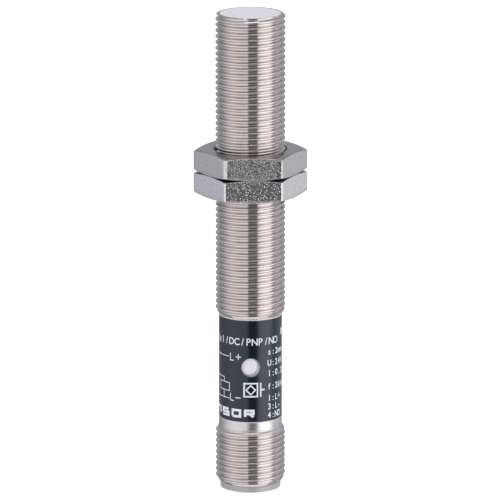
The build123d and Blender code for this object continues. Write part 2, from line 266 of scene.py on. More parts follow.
class Shader(NodeTree):
    """A node material round one Principled shader, whose plain values sit on its own sockets."""

    def __init__(self, name, colour, roughness, metallic=0.0, **sockets):
        self.material = bpy.data.materials.new(name)
        self.material.use_nodes = True
        super().__init__(self.material.node_tree)
        self.main = self.nodes["Principled BSDF"]
        self.set("Base Color", (*colour, 1.0))
        self.set("Roughness", roughness)
        self.set("Metallic", metallic)
        for key, value in sockets.items():
            self.set(key.replace("_", " "), value)
        self.coordinates = self.add("ShaderNodeTexCoord").outputs["Object"]
        self.height = None

    def set(self, socket, value):
        self.main.inputs[socket].default_value = value

    def scaled(self, scale):
        """The object's coordinates times a scale for each axis."""
        node = self.add("ShaderNodeVectorMath", operation="MULTIPLY")
        self.link(self.coordinates, node.inputs[0])
        node.inputs[1].default_value = scale
        return node.outputs[0]

    def noise_node(self, detail, **settings):
        node = self.add("ShaderNodeTexNoise", **settings)
        node.inputs["Scale"].default_value = 1.0
        node.inputs["Detail"].default_value = detail
        return node

    def noise(self, per_mm, detail, stretch=(1, 1, 1)):
        """Noise with so many features to the millimetre, finer by the stretch on each axis."""
        node = self.noise_node(detail)
        self.link(self.scaled([per_mm / MM * s for s in stretch]), node.inputs["Vector"])
        return node.outputs["Fac"]

    def axial_noise(self, per_mm, detail, wobble):
        """Noise that changes along the axis, as turning marks do, and wobbles slightly round it."""
        along = self.value("MULTIPLY", self.split(self.coordinates)["Z"], per_mm / MM)
        drift = self.value("MULTIPLY", self.noise(WOBBLE_PER_MM, 1.0), wobble)
        along = self.value("ADD", along, drift)
        node = self.noise_node(detail, noise_dimensions="1D")
        self.link(along, node.inputs["W"])
        return node.outputs["Fac"]

    def colour(self, factor, *stops):
        self.link(self.ramp(factor, *stops), self.main.inputs["Base Color"])

    def mottle(self, factor, colour, darkest, lightest):
        """Soft patches between two shares of one colour."""
        low = tuple(darkest * c for c in colour)
        high = tuple(min(1.0, lightest * c) for c in colour)
        self.colour(factor, (0.3, low), (0.7, high))

    def roughness(self, factor, low, high):
        self.link(self.remap(factor, To_Min=low, To_Max=high), self.main.inputs["Roughness"])

    def bump(self, factor, depth_mm):
        """Adds relief of that depth over the bumps already there."""
        node = self.add("ShaderNodeBump")
        node.inputs["Strength"].default_value = 1.0
        node.inputs["Distance"].default_value = depth_mm * MM
        self.link(factor, node.inputs["Height"])
        if self.height:
            self.link(self.height, node.inputs["Normal"])
        self.height = node.outputs["Normal"]
        self.link(self.height, self.main.inputs["Normal"])


def turned_steel(name, colour, roughness, marks_mm, anisotropy):
    """Turned metal with marks round the axis."""
    steel = Shader(name, colour, roughness, 1.0, Anisotropic=anisotropy, Anisotropic_Rotation=0.25)
    tangent = steel.add("ShaderNodeTangent", direction_type="RADIAL", axis="Z")
    steel.link(tangent.outputs[0], steel.main.inputs["Tangent"])
    steel.mottle(steel.noise(0.5, 4.0, stretch=(1, 1, 2.5)), colour, 0.93, 1.06)
    steel.roughness(steel.axial_noise(2.2, 4.0, 0.6), roughness * 0.8, roughness * 1.25)
    steel.bump(steel.axial_noise(9.0, 4.0, 0.8), marks_mm)
    return steel


def grained_steel(name, colour, roughness, per_mm, depth_mm, flat_share):
    """Steel with a fine raised grain: flat up to that share of the noise, then steep."""
    steel = Shader(name, colour, roughness, 1.0)
    steel.mottle(steel.noise(per_mm * 0.5, 3.0), colour, 0.9, 1.08)
    steel.roughness(steel.noise(per_mm * 0.3, 2.0), roughness * 0.8, roughness * 1.25)
    stops = ((0.0, 0.0), (flat_share, 0.0), (flat_share + 0.15, 1.0))
    steel.bump(steel.ramp(steel.noise(per_mm, 0.6), *stops), depth_mm)
    steel.bump(steel.noise(per_mm * 4.0, 2.0), 0.001)
    return steel


def moulded(name, colour, roughness, speckle, grain_mm, grain_per_mm=8.0, **sockets):
    """Moulded plastic, rubber or resin with a fine skin."""
    plastic = Shader(name, colour, roughness, **sockets)
    if speckle:
        plastic.mottle(plastic.noise(1.2, 4.0), colour, 1 - speckle, 1 + speckle)
    plastic.roughness(plastic.noise(2.5, 3.0), roughness * 0.88, min(1.0, roughness * 1.14))
    plastic.bump(plastic.noise(grain_per_mm, 2.0), grain_mm)
    return plastic


def milky_window():
    """The light guide's plastic, with a grey crescent of painted shade at its lower right."""
    milky, grey = (0.83, 0.805, 0.85), (0.42, 0.41, 0.43)
    unshaded_middle = (-0.45, WINDOW_Z + 0.3)
    shade_start_r, shade_full_r = 1.38, 1.55
    plastic = moulded("window_white", milky, 0.3, 0.0, 0.001, 4.0)
    # painted shade: the colour turns grey outside a circle round the unshaded middle
    away = plastic.add("ShaderNodeVectorMath", operation="DISTANCE")
    away.inputs[1].default_value = (unshaded_middle[0] * MM, 0.0, unshaded_middle[1] * MM)
    plastic.link(plastic.scaled((1.0, 0.0, 1.0)), away.inputs[0])
    ends = {"From_Min": shade_start_r * MM, "From_Max": shade_full_r * MM}
    plastic.colour(plastic.remap(away.outputs["Value"], **ends), (0.0, milky), (1.0, grey))
    return plastic


# visible pieces
tube_steel = turned_steel("tube_steel", (0.635, 0.58, 0.565), 0.1, 0.0008, 0.6)
neck_steel = turned_steel("neck_steel", (0.62, 0.575, 0.565), 0.27, 0.0004, 0.0)
nut_face_steel = turned_steel("nut_face_steel", (0.42, 0.415, 0.42), 0.2, 0.0003, 0.3)
# dark steel for the nuts' bores, countersinks and the upper nut's underside: painted shade
nut_bore_shade_steel = turned_steel("nut_bore_shade_steel", (0.17, 0.16, 0.155), 0.35, 0.002, 0.3)
upper_nut_steel = grained_steel("upper_nut_steel", (0.615, 0.585, 0.57), 0.13, 6.0, 0.015, 0.53)
lower_nut_steel = grained_steel("lower_nut_steel", (0.755, 0.72, 0.715), 0.08, 5.6, 0.034, 0.64)
# white for the film's cut edges: a painted highlight
film_edge_highlight = moulded("film_edge_highlight", (0.8, 0.8, 0.82), 0.4, 0.04, 0.002, 6.0)
FILM_GLOSS = {"IOR": 1.59, "Specular_Tint": (0.78, 0.9, 1.0, 1.0)}
film_black = moulded("film_black", (0.002, 0.005, 0.007), 0.2, 0.1, 0.0008, 3.0, **FILM_GLOSS)
print_white = moulded("print_white", (0.88, 0.89, 0.92), 0.4, 0.02, 0.001, 10.0)
cap_white = moulded("cap_white", (0.95, 0.915, 0.95), 0.42, 0.02, 0.003, 6.0)
window_white = milky_window()
carrier_grey = moulded("carrier_grey", (0.39, 0.395, 0.405), 0.3, 0.05, 0.003, 6.0, IOR=1.8)

# CAD nodes inside the tube
seal_black = moulded("seal_black", (0.02, 0.02, 0.02), 0.6, 0.2, 0.004)
retainer_tan = moulded("retainer_tan", (0.62, 0.55, 0.42), 0.5, 0.05, 0.004)
ferrite_grey = moulded("ferrite_grey", (0.05, 0.048, 0.05), 0.55, 0.2, 0.01)
bobbin_natural = moulded("bobbin_natural", (0.75, 0.72, 0.62), 0.4, 0.04, 0.003)
board_green = moulded("board_green", (0.02, 0.16, 0.06), 0.4, 0.15, 0.003)
chip_black = moulded("chip_black", (0.02, 0.02, 0.022), 0.5, 0.2, 0.004)
capacitor_tan = moulded("capacitor_tan", (0.45, 0.3, 0.16), 0.45, 0.1, 0.003)
led_lens = moulded("led_lens", (0.9, 0.85, 0.5), 0.2, 0.03, 0.001)
resin_dark = moulded("resin_dark", (0.03, 0.03, 0.034), 0.35, 0.2, 0.004)
copper = turned_steel("copper", (0.85, 0.42, 0.25), 0.3, 0.004, 0.2)
brass = turned_steel("brass", (0.78, 0.6, 0.28), 0.3, 0.002, 0.2)
gold = turned_steel("gold", (0.95, 0.72, 0.36), 0.16, 0.0008, 0.2)
tin = turned_steel("tin", (0.75, 0.75, 0.76), 0.35, 0.002, 0.1)

NODE_FINISH = {
    "contact_carrier": carrier_grey,
    "carrier_o_ring": seal_black,
    "retainer_o_ring": seal_black,
    "core_retainer": retainer_tan,
    "ferrite_core": ferrite_grey,
    "coil_bobbin": bobbin_natural,
    "coil_winding": copper,
    "coil_lead_start": copper,
    "coil_lead_end": copper,
    "shield_band": brass,
    "circuit_board": board_green,
    "sensor_chip": chip_black,
    "output_transistor": chip_black,
    "voltage_regulator": chip_black,
    "suppressor_diode": chip_black,
    "chip_resistors": chip_black,
    "buffer_capacitor": capacitor_tan,
    "ceramic_capacitors": capacitor_tan,
    "status_led": led_lens,
    "potting_resin": resin_dark,
    **{f"contact_pin_{k}": gold for k in (1, 2, 3, 4)},
    **{f"lead_wire_{k}": tin for k in (1, 2, 3, 4)},
}


# ------------------------------------------------------------------ threaded housing
def thread_depth(phase):
    """Depth below the crest at a phase of the pitch, 0 at the crest, with rounded corners."""
    total = 0.0
    samples = np.linspace(-PROFILE_ROUNDING, PROFILE_ROUNDING, ROUNDING_SAMPLES)
    for shift in samples:
        away = np.abs((phase + shift + 0.5) % 1.0 - 0.5)
        total = total + np.clip((away - CREST_HALF) * FLANK_SLOPE * PITCH, 0.0, THREAD_DEPTH)
    return total / len(samples)


def eased(distance, length):
    """0 up to no distance, 1 from the whole length on, and eased at both ends."""
    share = np.clip(distance / length, 0.0, 1.0)
    return share * share * (3 - 2 * share)


def threaded_rows(z_low, z_high, outline, crest_z, start_deg, fade_length):
    """Helical rows of a threaded zone, clamped at its ends and inside its (r, z) outline.
    The groove grows to its full depth over the fade's length."""
    turn = np.linspace(0.0, 360.0, TUBE_COLUMNS + 1)
    rise = ((turn - start_deg) / 360.0) * PITCH + crest_z
    phases = sorted({0.0, 0.5, *HALF_PHASES, *(1.0 - p for p in HALF_PHASES)})
    first = math.floor((z_low - crest_z) / PITCH) - SPARE_TURNS
    last = math.ceil((z_high - crest_z) / PITCH) + SPARE_TURNS
    outline_r, outline_z = zip(*outline)
    rows = []
    for whole in range(first, last):
        for phase in phases:
            z = np.clip(rise + (whole + phase) * PITCH, z_low, z_high)
            depth = thread_depth((z - rise) / PITCH) * eased(z - z_low - FADE_DELAY, fade_length)
            rows.append((np.minimum(np.interp(z, outline_z, outline_r), THREAD_R - depth), z))
    # rows that lie wholly at one end are only needed once, as the first and the last
    rows = [row for i, row in enumerate(rows) if i == 0 or row[1].max() > z_low]
    final = len(rows) - 1
    return [row for i, row in enumerate(rows) if i == final or row[1].min() < z_high]


def window_patch(radius, z_rows, first_column, last_column, columns):
    """Points and quads that carry a cylinder's grid in to the window's round hole.
    The last ring of points is the hole's rim; the third result is the number in a ring."""
    step = 360.0 / columns

    def chart(column, z):
        return radius * math.sin(math.radians(column * step - FRONT_DEG)), z

    border = [chart(c, z_rows[0]) for c in range(first_column, last_column)]
    border += [chart(last_column, z) for z in z_rows[:-1]]
    border += [chart(c, z_rows[-1]) for c in range(last_column, first_column, -1)]
    border += [chart(first_column, z) for z in reversed(z_rows[1:])]
    count = len(border)
    points = []
    for ring in range(HOLE_RINGS + 1):
        share = ring / HOLE_RINGS
        for x, z in border:
            away = math.atan2(z - WINDOW_Z, x)
            hole = (WINDOW_R * math.cos(away), WINDOW_Z + WINDOW_R * math.sin(away))
            px = x + (hole[0] - x) * share
            pz = z + (hole[1] - z) * share
            points.append((px, -math.sqrt(radius * radius - px * px), pz))
    faces = []
    for ring in range(HOLE_RINGS):
        for k in range(count):
            a, b = ring * count + k, ring * count + (k + 1) % count
            faces.append((a, b, b + count, a + count))
    return points, faces, count


def band_levels(band):
    """Heights of the rows that the window's hole interrupts."""
    half = band["half_height"]
    return list(np.linspace(WINDOW_Z - half, WINDOW_Z + half, band["rows"]))


def holed_tube(outside, inside, columns, outer_r, inner_r, band):
    """Closed grid with the window's hole through a band of its outer and its inner rows.
    outside and inside are the rows before each band, and the inner band runs downwards."""
    levels = band_levels(band)
    outer = [level_row(outer_r, z, columns) for z in levels]
    inner = [level_row(inner_r, z, columns) for z in reversed(levels)]
    rows = outside + outer + inside + inner
    starts = (len(outside), len(outside) + len(outer) + len(inside))
    points = list(around(rows, columns))
    front = round(columns * FRONT_DEG / 360.0)
    low_c, high_c = front - band["reach"], front + band["reach"]

    def keep(i, j):
        in_band = any(start <= i < start + len(levels) - 1 for start in starts)
        return not (in_band and low_c <= j < high_c)

    faces = grid_faces(len(rows), columns, keep=keep, close_rows=True)
    rims = []
    for radius in (outer_r, inner_r):
        made, quads, count = window_patch(radius, levels, low_c, high_c, columns)
        base = len(points)
        points += made
        faces += [tuple(base + v for v in q) for q in quads]
        rims.append(base + HOLE_RINGS * count)
    for k in range(count):
        n = (k + 1) % count
        faces.append((rims[0] + k, rims[0] + n, rims[1] + n, rims[1] + k))
    return welded_mesh(points, faces)


def build_housing():
    recess_r = NECK_R - FILM_T
    entry_z = TUBE_END_Z + TUBE_END_CHAMFER
    connector_outline = [
        (CONNECTOR_EDGE_R, entry_z),
        (THREAD_R, CONNECTOR_THREAD_Z[0]),
        (THREAD_R, CONNECTOR_THREAD_Z[1]),
        (NECK_R, NECK_START_Z),
    ]
    main_outline = [
        (NECK_R, MAIN_THREAD_Z),
        (THREAD_R, MAIN_THREAD_Z + RUNOUT),
        (THREAD_R, FACE_Z - FACE_CHAMFER_T),
        (FACE_EDGE_R, FACE_Z),
    ]
    below_window = [
        level_row(BORE_R, TUBE_END_Z),
        level_row(CONNECTOR_EDGE_R - TUBE_END_CHAMFER, TUBE_END_Z),
        *threaded_rows(
            entry_z,
            NECK_START_Z,
            connector_outline,
            CONNECTOR_CREST_Z,
            CONNECTOR_START_DEG,
            CONNECTOR_FADE,
        ),
        level_row(NECK_R, NECK_START_Z + EDGE_HOLD),
        level_row(NECK_R, LABEL_Z[0] - FILM_T - EDGE_HOLD),
        level_row(NECK_R, LABEL_Z[0] - FILM_T),
        level_row(recess_r, LABEL_Z[0]),
    ]
    above_window = [
        level_row(recess_r, LABEL_Z[1]),
        level_row(NECK_R, LABEL_Z[1] + RECESS_BEVEL),
        level_row(NECK_R, LABEL_Z[1] + RECESS_BEVEL + EDGE_HOLD),
        *threaded_rows(MAIN_THREAD_Z, FACE_Z, main_outline, MAIN_CREST_Z, FRONT_DEG, MAIN_FADE),
        level_row(CAP_R + SEAT_EDGE, FACE_Z),
        level_row(CAP_R, FACE_Z - SEAT_EDGE),
        level_row(CAP_R, FACE_Z - CAP_T),
        level_row(BORE_R, FACE_Z - CAP_T),
    ]
    mesh = holed_tube(below_window, above_window, TUBE_COLUMNS, recess_r, BORE_R, TUBE_BAND)
    # the plain necks either side of the label have a smoother finish than the threads
    second_finish(mesh, lambda level: (level > NECK_FINISH_Z[0]) & (level < NECK_FINISH_Z[1]))
    finishes = [tube_steel, neck_steel]
    add_piece("threaded_housing", mesh, "sensor", finishes, ["housing_tube"], 50.0)


# ------------------------------------------------------------------ label film
FILM_COLUMNS = 120
FILM_EDGE = 0.03
FILM_CUT_HEIGHT = 0.1
FILM_Z = (LABEL_Z[0] - 0.07, LABEL_Z[1] + 0.12)  # a little into the recess's bevels


def build_film():
    def level(r, z):
        return level_row(r, z, FILM_COLUMNS)

    inner = NECK_R - FILM_T
    low, high = FILM_Z
    dark = (low + FILM_CUT_HEIGHT, high - FILM_CUT_HEIGHT)
    below_window = [level(inner, low), level(NECK_R - FILM_EDGE, low), level(NECK_R, dark[0])]
    above_window = [level(NECK_R, dark[1]), level(NECK_R - FILM_EDGE, high), level(inner, high)]
    mesh = holed_tube(below_window, above_window, FILM_COLUMNS, NECK_R, inner, FILM_BAND)
    # the film's two cut edges are painted white, as a painted highlight
    second_finish(mesh, lambda level: (level < dark[0]) | (level > dark[1]))
    add_piece("label_band", mesh, "sensor", [film_black, film_edge_highlight], ["label_film"])


# ------------------------------------------------------------------ print on the film
INK_ABOVE = 0.006
INK_BELOW = 0.004
INK_WELD = 0.0004
CAP_SHARE = 0.73  # height of a capital in Blender's own font at size 1
RIGHT_COLUMN_U = 2.95
RIGHT_COLUMN = {  # ratings and pin-out, with their baselines
    "s:2mm": 24.2,
    "U:24V": 22.25,
    "I:0.2A": 20.42,
    "f:2kHz": 18.1,
    "1:L+": 16.07,
    "3:L-": 14.55,
    "4:NO": 13.05,
}
LEAST_MITRE = 0.3
CUT_NEAR = 1e-5
DOT_SIDES = 16
WIRE_LINE = 0.13
FINE_LINE = 0.15
MINUS_LINE = 0.17
DIAMOND_LINE = 0.22
MARK_LINE = 0.26
BLOCK_LINE = 0.42


def letter_shape(letter, weight):
    """Points and faces of one letter in Blender's own font, made bolder by the weight."""
    curve = bpy.data.curves.new("letter", "FONT")
    curve.body = letter
    curve.size = 1.0
    curve.offset = weight
    curve.resolution_u = 3
    holder = bpy.data.objects.new("letter", curve)
    mesh = bpy.data.meshes.new_from_object(holder)
    points = np.array([v.co for v in mesh.vertices])
    faces = [tuple(face.vertices) for face in mesh.polygons]
    bpy.data.objects.remove(holder)
    bpy.data.meshes.remove(mesh)
    bpy.data.curves.remove(curve)
    return points, faces


class Print:
    """Flat artwork on the unrolled label, u to the right from the window and z up the tube."""

    def __init__(self):
        self.flat = bmesh.new()

    def polygon(self, points):
        self.flat.faces.new([self.flat.verts.new((u, z, 0.0)) for u, z in points])

    def line(self, points, width=FINE_LINE, closed=False):
        """A line of even width with mitred corners."""
        p = [Vector(q) for q in points]
        n = len(p)
        left, right = [], []
        for i in range(n):
            a = p[i - 1] if (i or closed) else None
            b = p[(i + 1) % n] if (i < n - 1 or closed) else None
            d_in = (p[i] - a).normalized() if a is not None else None
            d_out = (b - p[i]).normalized() if b is not None else None
            d_in, d_out = d_in or d_out, d_out or d_in
            n_in, n_out = Vector((-d_in.y, d_in.x)), Vector((-d_out.y, d_out.x))
            mitre = (n_in + n_out).normalized()
            reach = width / 2 / max(LEAST_MITRE, mitre.dot(n_in))
            left.append(p[i] + mitre * reach)
            right.append(p[i] - mitre * reach)
        for i in range(n if closed else n - 1):
            k = (i + 1) % n
            self.polygon([right[i], right[k], left[k], left[i]])

    def dot(self, u, z, radius):
        turns = [2 * math.pi * k / DOT_SIDES for k in range(DOT_SIDES)]
        self.polygon([(u + radius * math.cos(t), z + radius * math.sin(t)) for t in turns])

    def text(self, words, u, z, height, advance, weight, narrow):
        """Generic lettering that starts at u, its baseline at z, with one letter every advance."""
        size = height / CAP_SHARE
        for letter in words:
            points, faces = letter_shape(letter, weight)
            middle = (points[:, 0].min() + points[:, 0].max()) / 2
            made = [
                self.flat.verts.new((u + advance / 2 + (x - middle) * size * narrow, z + y * size, 0.0))
                for x, y, _ in points
            ]
            for face in faces:
                self.flat.faces.new([made[v] for v in face])
            u += advance

    def wrapped(self):
        """Closed thin mesh of the artwork wrapped on the label."""
        bm = self.flat
        bmesh.ops.remove_doubles(bm, verts=bm.verts, dist=INK_WELD)
        # cut where the film's facets meet, so that the ink lies flat on them
        step = math.radians(360.0 / FILM_COLUMNS) * NECK_R
        lowest = min(v.co.x for v in bm.verts)
        highest = max(v.co.x for v in bm.verts)
        for k in range(math.floor(lowest / step), math.ceil(highest / step) + 1):
            bmesh.ops.bisect_plane(
                bm,
                geom=[*bm.verts, *bm.edges, *bm.faces],
                dist=CUT_NEAR,
                plane_co=(k * step, 0, 0),
                plane_no=(1, 0, 0),
            )
        bm.normal_update()
        for face in bm.faces:
            if face.normal.z < 0:
                face.normal_flip()
        bm.verts.index_update()
        flat = [(v.co.x, v.co.y) for v in bm.verts]
        points = []
        for lift in (INK_ABOVE, -INK_BELOW):
            r = NECK_R + lift
            points += [(r * math.sin(u / NECK_R), -r * math.cos(u / NECK_R), z) for u, z in flat]
        count = len(flat)
        faces = [tuple(v.index for v in f.verts) for f in bm.faces]
        faces += [tuple(v.index + count for v in reversed(f.verts)) for f in bm.faces]
        for edge in bm.edges:
            if len(edge.link_faces) == 1:
                loop = edge.link_loops[0]
                a, b = loop.vert.index, loop.link_loop_next.vert.index
                faces.append((b, a, a + count, b + count))
        bm.free()
        mesh = bpy.data.meshes.new("print")
        mesh.from_pydata([tuple(c * MM for c in p) for p in points], [], faces)
        mesh.update()
        return mesh


def draw_wiring(art):
    """Terminals L+ and L-, supply lead, load and common node, and the sensor's block."""
    art.line([(-3.8, 24.52), (-3.8, 23.27), (-3.05, 23.27)])
    art.line([(-2.72, 23.94), (-1.74, 23.94)])
    art.line([(-2.23, 23.43), (-2.23, 24.45)])
    art.line([(-3.8, 17.42), (-3.8, 16.2), (-3.05, 16.2)])
    art.line([(-2.82, 16.73), (-1.83, 16.73)], MINUS_LINE)

    art.line([(-9.6, 23.85), (-4.2, 23.85)], WIRE_LINE)
    art.line([(-9.6, 20.03), (-5.33, 20.03), (-5.33, 19.2)], WIRE_LINE)
    load = [(-6.65, 17.8), (-4.02, 17.8), (-4.02, 19.2), (-6.65, 19.2)]
    art.line(load, WIRE_LINE, closed=True)
    art.line([(-5.4, 17.8), (-5.4, 16.5)], WIRE_LINE)
    art.line([(-9.6, 16.5), (-4.02, 16.5)], WIRE_LINE)
    art.dot(-5.4, 16.5, 0.17)

    art.line([(-13.2, 15.9), (-9.6, 15.9), (-9.6, 24.4), (-13.2, 24.4)], closed=True)
    art.line([(-12.6, 21.6), (-11.4, 22.8), (-10.2, 21.6), (-11.4, 20.4)], closed=True)
    for u in (-11.65, -11.15):
        art.line([(u, 20.9), (u, 22.3)], WIRE_LINE)
    art.line([(-12.4, 17.3), (-11.7, 17.3), (-10.9, 18.5), (-10.2, 18.5)])


def draw_proximity_mark(art):
    """A diamond in a square, and two bars for the switching output."""
    square = [(-1.2, 17.05), (1.1, 17.05), (1.1, 19.35), (-1.2, 19.35)]
    art.line(square, MARK_LINE, closed=True)
    diamond = [(-0.05, 17.4), (0.75, 18.2), (-0.05, 19.0), (-0.85, 18.2)]
    art.line(diamond, DIAMOND_LINE, closed=True)
    art.line([(1.68, 16.95), (1.68, 19.45)], MARK_LINE)
    art.line([(1.68, 18.2), (2.4, 18.2)], MARK_LINE)


def draw_block_word(art):
    """Bold generic word in plain block letters, whose strokes are in shares of a letter's box."""
    last_u, base, width, tall, pitch = 0.4, 13.47, 1.42, 1.08, 2.32
    strokes = {
        "S": [[(1, 1), (0, 1), (0, 0.5), (1, 0.5), (1, 0), (0, 0)]],
        "E": [[(1, 1), (0, 1), (0, 0), (1, 0)], [(0, 0.5), (0.9, 0.5)]],
        "N": [[(0, 0), (0, 1), (1, 1), (1, 0)]],
        "O": [[(0, 0), (1, 0), (1, 1), (0, 1), (0, 0)]],
        "R": [[(0, 0), (0, 1), (1, 1), (1, 0.5), (0, 0.5)], [(0.5, 0.5), (1, 0)]],
    }
    word = "SENSOR"
    for number, letter in enumerate(word):
        start = last_u - width - (len(word) - 1 - number) * pitch
        for stroke in strokes[letter]:
            art.line([(start + width * a, base + tall * b) for a, b in stroke], BLOCK_LINE)


def build_print():
    art = Print()
    type_line, type_end, type_advance = "M12x1/DC/PNP/NO", 5.3, 1.04
    type_start = type_end - len(type_line) * type_advance
    art.text(type_line, type_start, 26.05, 1.27, type_advance, weight=0.012, narrow=0.9)
    draw_wiring(art)
    draw_proximity_mark(art)
    draw_block_word(art)
    for words, z in RIGHT_COLUMN.items():
        art.text(words, RIGHT_COLUMN_U, z, 1.1, 0.84, weight=0.02, narrow=0.85)
    art.text("M12", 6.6, 27.12, 1.26, 1.2, weight=0.03, narrow=0.9)
    add_piece("label_print", art.wrapped(), "sensor", [print_white])


# ------------------------------------------------------------------ LED window
WINDOW_COLUMNS = 72
WINDOW_DISC_T = 1.0
WINDOW_DOME = 0.3
WINDOW_RIM = 0.06
STEM_R = 1.2


def build_window():
    """Light guide: a disc that follows the tube's curve, on a stem down to the LED."""
    rings = [(WINDOW_R * s, WINDOW_DOME * s * s) for s in (0.0, 0.2, 0.4, 0.6, 0.8, 0.92)]
    for t in (0.4, 0.9, 1.57):
        inset, drop = WINDOW_RIM * (1 - math.sin(t)), WINDOW_RIM * (1 - math.cos(t))
        rings.append((WINDOW_R - inset, WINDOW_DOME + drop))
    back_y, stem_end_y = -(NECK_R - WINDOW_DISC_T), WINDOW_HIGH.y
    flat_rings = ((WINDOW_R, back_y), (STEM_R, back_y), (STEM_R, stem_end_y), (0.0, stem_end_y))
    turns = [2 * math.pi * k / WINDOW_COLUMNS for k in range(WINDOW_COLUMNS + 1)]
    points = []
    for r, drop in rings:
        for t in turns:
            x = r * math.cos(t)
            points.append((x, -math.sqrt(NECK_R**2 - x * x) + drop, WINDOW_Z + r * math.sin(t)))
    for r, y in flat_rings:
        points += [(r * math.cos(t), y, WINDOW_Z + r * math.sin(t)) for t in turns]
    mesh = welded_mesh(points, grid_faces(len(rings) + len(flat_rings), WINDOW_COLUMNS))
    add_piece("led_lens_window", mesh, "sensor", [window_white], ["led_window"])


# ------------------------------------------------------------------ sensing cap
CAP_COLUMNS = 96
CAP_WALL = 0.95
CAP_SINK = 0.02  # the face sits this far below the tube's rim
CAP_POCKET_R = 4.4
CAP_RING = 0.5


def build_cap():
    top_z, shoulder_z, pocket_z = FACE_Z - CAP_SINK, FACE_Z - CAP_T, FACE_Z - CAP_WALL
    profile = [
        (0.0, top_z),
        (CAP_R - CAP_RING, top_z),
        (CAP_R, top_z),
        (CAP_R, shoulder_z),
        (BORE_R, shoulder_z),
        (BORE_R, CAP_LOW.z),
        (CAP_POCKET_R, CAP_LOW.z),
        (CAP_POCKET_R, pocket_z),
        (0.0, pocket_z),
    ]
    rim, skirt_outer, skirt_inner, pocket_corner = 2, 5, 6, 7
    corners = {rim: 0.06, skirt_outer: 0.08, skirt_inner: 0.08, pocket_corner: 0.2}
    rows = [level_row(r, z, CAP_COLUMNS) for r, z in rounded(profile, corners)]
    mesh = welded_mesh(around(rows, CAP_COLUMNS), grid_faces(len(rows), CAP_COLUMNS))
    add_piece("sensing_face_cap", mesh, "sensor", [cap_white], ["sensing_cap"])


# ------------------------------------------------------------------ lock nuts
NUT_FLATS = 16.85
NUT_BORE_R = 6.0
NUT_COUNTERSINK = 0.32
NUT_RING_R = 7.3
NUT_CHAMFER_R = 8.4
NUT_CHAMFER_DEG = 15.0
NUT_TURN_DEG = 2.3
NUT_EDGE = 0.06
NUT_FLAT_STEPS = 10
NUT_CORNER_STEPS = 7
UPPER_CORNERS = (0.35, 0.4, 0.35, 0.45, 0.95, 0.33)
LOWER_CORNERS = (0.33, 0.35, 0.4, 0.33, 0.35, 0.33)
NUT_FACE, NUT_SIDE, NUT_BORE = 0, 1, 2  # numbers of a nut's materials


def hexagon(corner_radii):
    """Outline points of a hexagon whose six corners are rounded, each by its own radius."""
    half_turn = math.pi / 6
    reach = NUT_FLATS / 2 / math.cos(half_turn)

    def centre(k):
        turn = math.radians(NUT_TURN_DEG + 60 * k)
        out = reach - corner_radii[k % 6] / math.cos(half_turn)
        return Vector((out * math.cos(turn), out * math.sin(turn)))

    def on_corner(k, normal):
        return centre(k) + Vector((math.cos(normal), math.sin(normal))) * corner_radii[k % 6]

    outline = []
    for k in range(6):
        corner = math.radians(NUT_TURN_DEG + 60 * k)
        for i in range(NUT_CORNER_STEPS + 1):
            outline.append(on_corner(k, corner + math.radians(-30 + 60 * i / NUT_CORNER_STEPS)))
        start = outline[-1]
        stop = on_corner(k + 1, corner + math.radians(30))
        outline += [start.lerp(stop, i / NUT_FLAT_STEPS) for i in range(1, NUT_FLAT_STEPS)]
    return outline


def build_nut(name, node, body, corner_radii, side_steel, painted_shade_underside):
    """A chamfered nut with painted shade on its bore and countersink; a dark underside is painted shade
    too, where the other nut's shade lies on it.
    """
    low, high = box_mm(node)
    middle, half = (low.z + high.z) / 2, (high.z - low.z) / 2
    outline = hexagon(corner_radii)
    outline.append(outline[0])
    radius = np.array([p.length for p in outline])
    angle = np.array([math.atan2(p.y, p.x) for p in outline])
    drop = np.maximum(0.0, radius - NUT_CHAMFER_R) * math.tan(math.radians(NUT_CHAMFER_DEG))
    ones = np.ones_like(radius)
    # rows of radius, height above the middle, and material, from the bore out and down the side,
    # with each outer edge rounded in steps that are shares of NUT_EDGE
    top = [
        (NUT_BORE_R * ones, 0.0 * ones, NUT_BORE),
        (NUT_BORE_R * ones, (half - NUT_COUNTERSINK) * ones, NUT_BORE),
        ((NUT_BORE_R + NUT_COUNTERSINK) * ones, half * ones, NUT_FACE),
        (NUT_RING_R * ones, half * ones, NUT_FACE),
        (np.minimum(NUT_CHAMFER_R, radius - NUT_EDGE * 1.5), half * ones, NUT_FACE),
        (radius - NUT_EDGE, half - np.maximum(drop - NUT_EDGE * 0.27, 0.0), NUT_FACE),
        (radius - NUT_EDGE * 0.3, half - drop - NUT_EDGE * 0.3, NUT_SIDE),
        (radius, half - drop - NUT_EDGE, NUT_SIDE),
    ]
    sides = [(radius, (half - drop - NUT_EDGE) * s, NUT_SIDE) for s in (0.5, 0.0, -0.5)]
    bottom = [(r, -z, finish) for r, z, finish in reversed(top)]
    rows = top + sides + bottom[:-1]
    columns = len(outline) - 1
    points = []
    for r, z, _ in rows:
        points += list(zip(r * np.cos(angle), r * np.sin(angle), z + middle))
    finish_of = []
    for i, (_, _, here) in enumerate(rows):
        after = rows[(i + 1) % len(rows)][2]
        # the underside of the upper nut takes the bore's dark steel, as painted shade between the nuts
        painted_gap_shade = painted_shade_underside and i >= len(top) + len(sides)
        if here == NUT_SIDE and after == NUT_SIDE:
            finish = NUT_SIDE
        elif NUT_BORE in (here, after) or painted_gap_shade:
            finish = NUT_BORE
        else:
            finish = NUT_FACE
        finish_of += [finish] * columns
    mesh = welded_mesh(points, grid_faces(len(rows), columns, close_rows=True), finish_of)
    finishes = [nut_face_steel, side_steel, nut_bore_shade_steel]
    add_piece(name, mesh, body, finishes, [node], 28.0)


